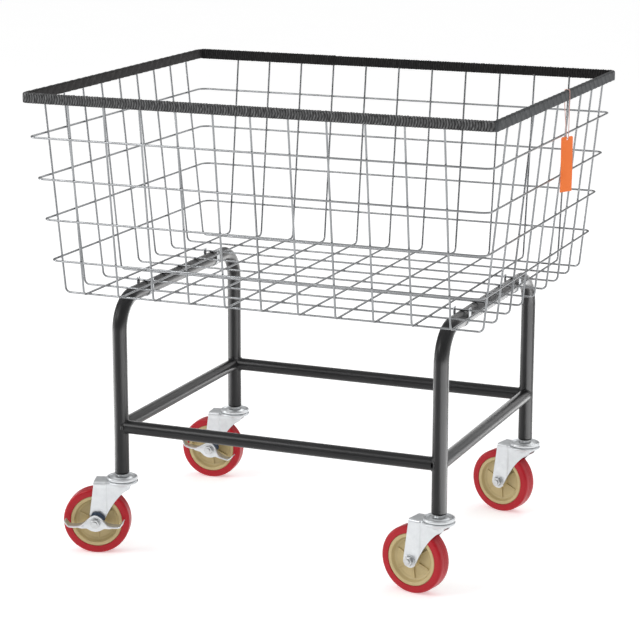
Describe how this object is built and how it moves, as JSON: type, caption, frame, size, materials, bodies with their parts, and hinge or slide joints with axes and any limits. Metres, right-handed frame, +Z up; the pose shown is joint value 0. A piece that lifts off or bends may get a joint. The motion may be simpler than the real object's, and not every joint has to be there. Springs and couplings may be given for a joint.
{
  "type": "laundry cart",
  "caption": "Wire laundry cart: bright welded wire basket with a black wrapped rim on a black tube base, with swivel casters and side brakes.",
  "frame": {"origin": "on the floor under the middle of the cart", "axes": "+X along the length to the right, +Y from front to back, +Z up"},
  "size_m": [0.905, 0.753, 0.8892],
  "materials": {
    "bare_steel": "mill finish, hidden inside the wrap",
    "rim_tape": "black knitted tape with a zigzag rib",
    "side_tape": "grey-black tape wound at a slant",
    "basket_wire": "bright zinc",
    "zinc_sheet": "bright zinc plate",
    "zinc_bolt": "zinc plate",
    "ball_steel": "polished",
    "frame_coat": "satin black powder coat",
    "insert_black": "black",
    "hub_plastic": "beige moulding",
    "tread_red": "cast red polyurethane",
    "cam_dark": "dark blue-grey",
    "tag_card": "blank orange card",
    "tag_thread": "pale pink string"
  },
  "bodies": {
    "cart": {"rim_bar": "bare_steel", "rim_wrap_front": "rim_tape", "rim_wrap_right": "side_tape", "rim_wrap_back": "rim_tape", "rim_wrap_left": "side_tape", "basket_cross_wires": "basket_wire", "basket_long_wires": "basket_wire", "hoop_1_lowest": "basket_wire", "hoop_2": "basket_wire", "hoop_3": "basket_wire", "hoop_4_highest": "basket_wire", "basket_clips": "zinc_sheet", "left_leg_frame": "frame_coat", "right_leg_frame": "frame_coat", "front_stretcher": "frame_coat", "rear_stretcher": "frame_coat", "left_stretcher": "frame_coat", "right_stretcher": "frame_coat", "stem_inserts": "insert_black", "caster_stems": "zinc_bolt", "upper_races": "zinc_sheet", "lower_races": "zinc_sheet", "tag_string": "tag_thread"},
    "swivel_front_left": {"race_balls_front_left": "ball_steel", "fork_front_left": "zinc_sheet", "axle_sleeve_front_left": "zinc_bolt", "axle_bolt_front_left": "zinc_bolt", "axle_nut_front_left": "zinc_bolt"},
    "wheel_front_left": {"wheel_hub_front_left": "hub_plastic", "tread_front_left": "tread_red"},
    "swivel_front_right": {"race_balls_front_right": "ball_steel", "fork_front_right": "zinc_sheet", "axle_sleeve_front_right": "zinc_bolt", "axle_bolt_front_right": "zinc_bolt", "axle_nut_front_right": "zinc_bolt"},
    "wheel_front_right": {"wheel_hub_front_right": "hub_plastic", "tread_front_right": "tread_red"},
    "swivel_rear_right": {"race_balls_rear_right": "ball_steel", "fork_rear_right": "zinc_sheet", "axle_sleeve_rear_right": "zinc_bolt", "axle_bolt_rear_right": "zinc_bolt", "axle_nut_rear_right": "zinc_bolt"},
    "wheel_rear_right": {"wheel_hub_rear_right": "hub_plastic", "tread_rear_right": "tread_red"},
    "swivel_rear_left": {"race_balls_rear_left": "ball_steel", "fork_rear_left": "zinc_sheet", "axle_sleeve_rear_left": "zinc_bolt", "axle_bolt_rear_left": "zinc_bolt", "axle_nut_rear_left": "zinc_bolt"},
    "wheel_rear_left": {"wheel_hub_rear_left": "hub_plastic", "tread_rear_left": "tread_red"},
    "brake_front_left": {"brake_cam_front_left": "cam_dark", "brake_lever_front_left": "zinc_sheet"},
    "brake_rear_left": {"brake_cam_rear_left": "cam_dark", "brake_lever_rear_left": "zinc_sheet"},
    "tag": {"hang_tag": "tag_card"}
  },
  "joints": [
    {"name": "front_left_swivel", "type": "hinge", "parent": "cart", "child": "swivel_front_left", "pos_m": [-0.318, -0.258, 0.143], "axis": [0, 0, 1], "continuous": true},
    {"name": "front_left_wheel", "type": "hinge", "parent": "swivel_front_left", "child": "wheel_front_left", "pos_m": [-0.36413, -0.27299, 0.0635], "axis": [-0.309, 0.9511, 0], "continuous": true},
    {"name": "front_right_swivel", "type": "hinge", "parent": "cart", "child": "swivel_front_right", "pos_m": [0.318, -0.258, 0.143], "axis": [0, 0, 1], "continuous": true},
    {"name": "front_right_wheel", "type": "hinge", "parent": "swivel_front_right", "child": "wheel_front_right", "pos_m": [0.27056, -0.24792, 0.0635], "axis": [0.2079, 0.9781, 0], "continuous": true},
    {"name": "rear_right_swivel", "type": "hinge", "parent": "cart", "child": "swivel_rear_right", "pos_m": [0.318, 0.258, 0.143], "axis": [0, 0, 1], "continuous": true},
    {"name": "rear_right_wheel", "type": "hinge", "parent": "swivel_rear_right", "child": "wheel_rear_right", "pos_m": [0.27084, 0.26932, 0.0635], "axis": [0.2334, 0.9724, 0], "continuous": true},
    {"name": "rear_left_swivel", "type": "hinge", "parent": "cart", "child": "swivel_rear_left", "pos_m": [-0.318, 0.258, 0.143], "axis": [0, 0, 1], "continuous": true},
    {"name": "rear_left_wheel", "type": "hinge", "parent": "swivel_rear_left", "child": "wheel_rear_left", "pos_m": [-0.36619, 0.25251, 0.0635], "axis": [-0.1132, 0.9936, 0], "continuous": true},
    {"name": "front_left_brake", "type": "hinge", "parent": "swivel_front_left", "child": "brake_front_left", "pos_m": [-0.36413, -0.27299, 0.0635], "axis": [-0.309, 0.9511, 0], "range_deg": [-14, 14]},
    {"name": "rear_left_brake", "type": "hinge", "parent": "swivel_rear_left", "child": "brake_rear_left", "pos_m": [-0.36619, 0.25251, 0.0635], "axis": [-0.1132, 0.9936, 0], "range_deg": [-28, 0]},
    {"name": "tag_swing", "type": "hinge", "parent": "cart", "child": "tag", "pos_m": [0.44814, 0.04836, 0.798], "axis": [0.8829, -0.4695, 0], "range_deg": [-4, 20]}
  ]
}
